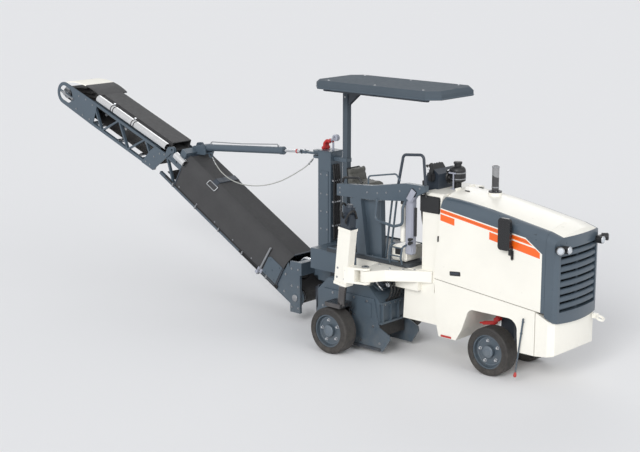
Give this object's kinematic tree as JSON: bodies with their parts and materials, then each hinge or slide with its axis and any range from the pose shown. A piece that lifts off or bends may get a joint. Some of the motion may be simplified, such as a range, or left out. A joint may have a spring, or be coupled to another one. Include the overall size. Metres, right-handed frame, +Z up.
{
  "type": "cold planer",
  "caption": "Compact wheeled road milling machine: front engine under a ribbed-grille hood, drum between the rear wheels, canopy over the operator and a folding rear conveyor.",
  "frame": {"origin": "on the ground, under the middle of the whole machine's footprint, conveyor and tie-down ring included", "axes": "+X ahead, towards the engine's grille; +Y to the machine's left; +Z up"},
  "size_m": [7.9208, 1.3898, 2.8049],
  "materials": {
    "cream_paint": "gloss",
    "slate_paint": "satin",
    "dark_paint": "satin",
    "cover_plastic": "matte",
    "steel": "brushed",
    "cast": "rough",
    "tyre": "solid rubber",
    "rubber": "matte",
    "seat_vinyl": "vinyl",
    "lamp_glass": "lamp housing",
    "chrome": "polished",
    "axle_red": "satin"
  },
  "bodies": {
    "chassis": {"lower_body": "cream_paint", "bumper": "cream_paint", "rear_cowl": "cream_paint", "engine_block": "dark_paint", "front_axle": "axle_red", "air_cleaner": "cover_plastic", "control_console": "dark_paint", "drum_housing": "slate_paint", "side_plates": "slate_paint", "front_apron": "rubber", "scraper": "dark_paint", "chute": "dark_paint", "rear_frame": "cream_paint", "platform": "dark_paint", "mast": "slate_paint", "roof": "slate_paint", "operator_stand": "slate_paint", "seat": "seat_vinyl", "handrail": "dark_paint"},
    "hood": {"hood": "cream_paint", "nose_frame": "slate_paint", "grille": "slate_paint", "exhaust_stack": "steel", "front_lamps": "lamp_glass", "mirror": "dark_paint"},
    "front_right_knuckle": {"knuckle_right": "axle_red"},
    "front_left_knuckle": {"knuckle_left": "axle_red"},
    "front_right_wheel": {"front_right_tyre": "tyre", "front_right_rim": "slate_paint"},
    "front_left_wheel": {"front_left_tyre": "tyre", "front_left_rim": "slate_paint"},
    "rear_right_wheel": {"rear_right_tyre": "tyre", "rear_right_rim": "slate_paint"},
    "rear_left_wheel": {"rear_left_tyre": "tyre", "rear_left_rim": "slate_paint"},
    "swing_arm": {"swing_arm": "cream_paint"},
    "right_leg": {"right_leg": "slate_paint"},
    "left_leg": {"left_leg": "slate_paint"},
    "milling_drum": {"milling_drum": "cast"},
    "slew_bracket": {"slew_bracket": "slate_paint"},
    "lower_conveyor": {"lower_boom": "slate_paint", "lower_cover": "cover_plastic", "lower_belt": "rubber", "safety_cable": "steel"},
    "tail_drum": {"tail_drum": "steel"},
    "upper_conveyor": {"upper_boom": "slate_paint", "upper_cover": "cover_plastic", "side_tube": "cream_paint", "upper_belt": "rubber"},
    "head_drum": {"head_drum": "steel"},
    "lift_barrel": {"cylinder_barrel": "slate_paint"},
    "lift_rod": {"cylinder_rod": "chrome"}
  },
  "joints": [
    {"name": "hood_hinge", "type": "hinge", "parent": "chassis", "child": "hood", "pos_m": [2.4372, 0.23814, 1.8], "axis": [0, -1, 0], "range_deg": [0, 55]},
    {"name": "steer_right", "type": "hinge", "parent": "chassis", "child": "front_right_knuckle", "pos_m": [3.05289, 0.06014, 0.25], "axis": [0, 0, 1], "range_deg": [-25, 25]},
    {"name": "steer_left", "type": "hinge", "parent": "chassis", "child": "front_left_knuckle", "pos_m": [3.05289, 0.41614, 0.25], "axis": [0, 0, 1], "range_deg": [-25, 25]},
    {"name": "front_right_spin", "type": "hinge", "parent": "front_right_knuckle", "child": "front_right_wheel", "pos_m": [3.05289, -0.08536, 0.25], "axis": [0, 1, 0], "continuous": true},
    {"name": "front_left_spin", "type": "hinge", "parent": "front_left_knuckle", "child": "front_left_wheel", "pos_m": [3.05289, 0.56164, 0.25], "axis": [0, 1, 0], "continuous": true},
    {"name": "swing_arm_hinge", "type": "hinge", "parent": "chassis", "child": "swing_arm", "pos_m": [1.76289, -0.55186, 0.8935], "axis": [0, 0, 1], "range_deg": [0, 160]},
    {"name": "right_leg_slide", "type": "slide", "parent": "swing_arm", "child": "right_leg", "axis": [0.1045, 0, 0.9945], "range_m": [0, 0.15]},
    {"name": "left_leg_slide", "type": "slide", "parent": "chassis", "child": "left_leg", "axis": [0, 0, 1], "range_m": [0, 0.15]},
    {"name": "rear_right_spin", "type": "hinge", "parent": "right_leg", "child": "rear_right_wheel", "pos_m": [1.36889, -0.60336, 0.25], "axis": [0, 1, 0], "continuous": true},
    {"name": "rear_left_spin", "type": "hinge", "parent": "left_leg", "child": "rear_left_wheel", "pos_m": [1.36889, 0.58314, 0.25], "axis": [0, 1, 0], "continuous": true},
    {"name": "milling_drum_spin", "type": "hinge", "parent": "chassis", "child": "milling_drum", "pos_m": [1.36889, -0.11686, 0.388], "axis": [0, 1, 0], "continuous": true},
    {"name": "conveyor_slew", "type": "hinge", "parent": "chassis", "child": "slew_bracket", "pos_m": [0.39289, 0.23814, 0.63], "axis": [0, 0, 1], "range_deg": [-25, 25]},
    {"name": "conveyor_lift", "type": "hinge", "parent": "slew_bracket", "child": "lower_conveyor", "pos_m": [0.29289, 0.23814, 0.282], "axis": [0, 1, 0], "range_deg": [-20, 3]},
    {"name": "conveyor_fold", "type": "hinge", "parent": "lower_conveyor", "child": "upper_conveyor", "pos_m": [-1.76742, 0.23814, 1.74984], "axis": [0, 1, 0], "range_deg": [0, 130]},
    {"name": "lift_barrel_pivot", "type": "hinge", "parent": "lower_conveyor", "child": "lift_barrel", "pos_m": [-1.41683, 0.23814, 1.79277], "axis": [0, 1, 0], "range_deg": [-0.4, 2.4]},
    {"name": "lift_rod_slide", "type": "slide", "parent": "lift_barrel", "child": "lift_rod", "axis": [0.9967, 0, 0.0815], "range_m": [-0.086, 0.57]},
    {"name": "tail_drum_spin", "type": "hinge", "parent": "lower_conveyor", "child": "tail_drum", "pos_m": [0.29289, 0.23814, 0.282], "axis": [0, 1, 0], "continuous": true},
    {"name": "head_drum_spin", "type": "hinge", "parent": "upper_conveyor", "child": "head_drum", "pos_m": [-3.81748, 0.23814, 2.27055], "axis": [0, 1, 0], "continuous": true}
  ],
  "couplings": [
    {"joint": "steer_right", "follows": "steer_left", "ratio": 1},
    {"joint": "lift_barrel_pivot", "follows": "conveyor_lift", "ratio": -0.118},
    {"joint": "lift_rod_slide", "follows": "conveyor_lift", "m_per_rad": -1.632}
  ]
}
